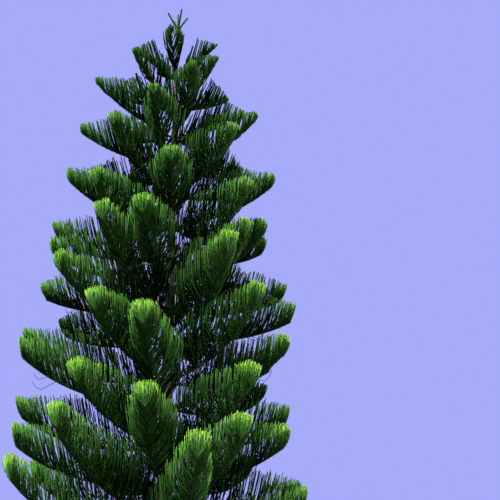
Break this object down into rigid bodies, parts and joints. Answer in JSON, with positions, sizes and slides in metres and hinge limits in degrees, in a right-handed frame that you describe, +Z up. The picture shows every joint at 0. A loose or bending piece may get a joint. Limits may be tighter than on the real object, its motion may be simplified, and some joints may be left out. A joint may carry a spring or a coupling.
{
  "type": "norfolk island pine",
  "caption": "Rooted Norfolk Island pine: straight bare-footed trunk, tiers of upswept plume-like boughs and a narrow pointed crown.",
  "frame": {"origin": "middle of the flat cut under the trunk, at ground level", "axes": "+Z up along the trunk, -Y towards the viewer of the picture, +X to the viewer's right"},
  "size_m": [3.8517, 3.855, 12.5],
  "materials": {
    "bark": "rough ringed bark",
    "limb_bark": "rough bark",
    "foliage": "matt needles"
  },
  "bodies": {
    "root": {"limb_17_1": "limb_bark", "limb_17_2": "limb_bark", "limb_17_3": "limb_bark", "limb_17_4": "limb_bark", "limb_17_5": "limb_bark", "limb_18_1": "limb_bark", "limb_18_2": "limb_bark", "limb_18_3": "limb_bark", "limb_18_4": "limb_bark", "limb_18_5": "limb_bark", "spray_17_1": "foliage", "spray_17_2": "foliage", "spray_17_3": "foliage", "spray_17_4": "foliage", "spray_17_5": "foliage", "spray_18_1": "foliage", "spray_18_2": "foliage", "spray_18_3": "foliage", "spray_18_4": "foliage", "spray_18_5": "foliage", "trunk": "bark", "whorl_01_left": "foliage", "whorl_01_right": "foliage", "whorl_02_left": "foliage", "whorl_02_right": "foliage", "whorl_03_left": "foliage", "whorl_03_right": "foliage", "whorl_04_left": "foliage", "whorl_04_right": "foliage", "whorl_05_left": "foliage", "whorl_05_right": "foliage", "whorl_06_left": "foliage", "whorl_06_right": "foliage", "whorl_07_left": "foliage", "whorl_07_right": "foliage", "whorl_08_left": "foliage", "whorl_08_right": "foliage", "whorl_09_left": "foliage", "whorl_09_right": "foliage", "whorl_10_left": "foliage", "whorl_10_right": "foliage", "whorl_11_left": "foliage", "whorl_11_right": "foliage", "whorl_12_left": "foliage", "whorl_12_right": "foliage", "whorl_13_left": "foliage", "whorl_13_right": "foliage", "whorl_14_left": "foliage", "whorl_14_right": "foliage", "whorl_15_left": "foliage", "whorl_15_right": "foliage", "whorl_16_left": "foliage", "whorl_16_right": "foliage"}
  },
  "joints": []
}
